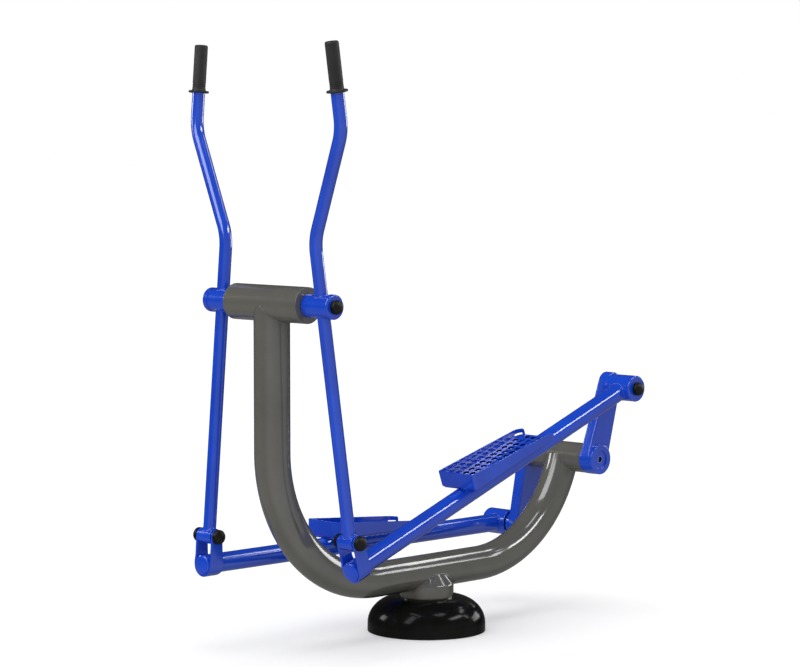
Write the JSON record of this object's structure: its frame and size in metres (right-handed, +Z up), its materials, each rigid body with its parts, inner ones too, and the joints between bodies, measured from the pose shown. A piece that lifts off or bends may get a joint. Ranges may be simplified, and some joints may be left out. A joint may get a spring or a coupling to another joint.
{
  "type": "outdoor elliptical walker",
  "caption": "Outdoor elliptical walker: a bowed tube frame on a domed round base, with swinging handle levers, pedal arms with perforated foot trays and a rear crank.",
  "frame": {"origin": "centre of the round base on the ground", "axes": "+X towards the handles (front), +Y to the user's left, +Z up"},
  "size_m": [1.2835, 0.6686, 1.4983],
  "materials": {
    "frame_grey": "satin",
    "blue_paint": "gloss",
    "base_steel": "satin",
    "dome_black": "gloss",
    "shaft_steel": "satin",
    "bearing_steel": "gloss",
    "zinc_steel": "satin",
    "dark_steel": "satin",
    "cap_black": "satin",
    "grip_rubber": "matte",
    "bush_plastic": "matte"
  },
  "bodies": {
    "frame": {"main_tube": "frame_grey", "crossbar_tube": "frame_grey", "crossbar_end_plates": "frame_grey", "rear_axle_housing": "frame_grey", "stub_post": "frame_grey", "base_flange": "base_steel", "base_gussets": "base_steel", "base_dome_cover": "dome_black", "handle_pivot_shaft": "shaft_steel", "handle_bearing_inner_rings": "bearing_steel", "handle_shaft_spacers": "shaft_steel", "handle_shaft_washers": "zinc_steel", "handle_shaft_bolts": "zinc_steel", "rear_bearing_outer_rings": "bearing_steel"},
    "crank": {"crank_axle": "shaft_steel", "axle_spacers": "shaft_steel", "rear_bearing_inner_rings": "bearing_steel", "crank_axle_bolts": "dark_steel", "left_crank_arm": "blue_paint", "right_crank_arm": "blue_paint", "left_crank_pin": "shaft_steel", "right_crank_pin": "shaft_steel"},
    "left_lever": {"left_pivot_sleeve": "blue_paint", "left_sleeve_collar": "blue_paint", "left_sleeve_cap": "cap_black", "left_sleeve_bearing_outer_rings": "bearing_steel", "left_lever_upper": "blue_paint", "left_lever_lower": "blue_paint", "left_grip": "grip_rubber", "left_lower_sleeve": "blue_paint", "left_lower_bushes": "bush_plastic"},
    "left_pedal_arm": {"left_arm_tube": "blue_paint", "left_arm_front_cap": "blue_paint", "left_clevis": "blue_paint", "left_clevis_bolt": "shaft_steel", "left_clevis_nut": "zinc_steel", "left_clevis_caps": "cap_black", "left_rear_hub": "blue_paint", "left_hub_cap": "cap_black", "left_pedal": "blue_paint", "left_pedal_saddles": "blue_paint"},
    "right_lever": {"right_pivot_sleeve": "blue_paint", "right_sleeve_collar": "blue_paint", "right_sleeve_cap": "cap_black", "right_sleeve_bearing_outer_rings": "bearing_steel", "right_lever_upper": "blue_paint", "right_lever_lower": "blue_paint", "right_grip": "grip_rubber", "right_lower_sleeve": "blue_paint", "right_lower_bushes": "bush_plastic"},
    "right_pedal_arm": {"right_arm_tube": "blue_paint", "right_arm_front_cap": "blue_paint", "right_clevis": "blue_paint", "right_clevis_bolt": "shaft_steel", "right_clevis_nut": "zinc_steel", "right_clevis_caps": "cap_black", "right_rear_hub": "blue_paint", "right_hub_cap": "cap_black", "right_pedal": "blue_paint", "right_pedal_saddles": "blue_paint"}
  },
  "joints": [
    {"name": "crank_turn", "type": "hinge", "parent": "frame", "child": "crank", "pos_m": [-0.5317, 0, 0.4075], "axis": [0, 1, 0], "range_deg": [-22, 22]},
    {"name": "left_lever_swing", "type": "hinge", "parent": "frame", "child": "left_lever", "pos_m": [0.5425, 0.1763, 0.8685], "axis": [0, 1, 0], "range_deg": [-6.5, 6.5]},
    {"name": "left_arm_pivot", "type": "hinge", "parent": "left_lever", "child": "left_pedal_arm", "pos_m": [0.45186, 0.1763, 0.2936], "axis": [0, 1, 0], "range_deg": [-8, 8]},
    {"name": "right_lever_swing", "type": "hinge", "parent": "frame", "child": "right_lever", "pos_m": [0.5425, -0.1763, 0.8685], "axis": [0, 1, 0], "range_deg": [-7.5, 7.5]},
    {"name": "right_arm_pivot", "type": "hinge", "parent": "right_lever", "child": "right_pedal_arm", "pos_m": [0.59108, -0.1763, 0.28853], "axis": [0, 1, 0], "range_deg": [-8.5, 8.5]}
  ],
  "couplings": [
    {"joint": "left_lever_swing", "follows": "crank_turn", "ratio": -0.282},
    {"joint": "left_arm_pivot", "follows": "crank_turn", "ratio": 0.352},
    {"joint": "right_lever_swing", "follows": "crank_turn", "ratio": 0.3325},
    {"joint": "right_arm_pivot", "follows": "crank_turn", "ratio": -0.3627}
  ]
}
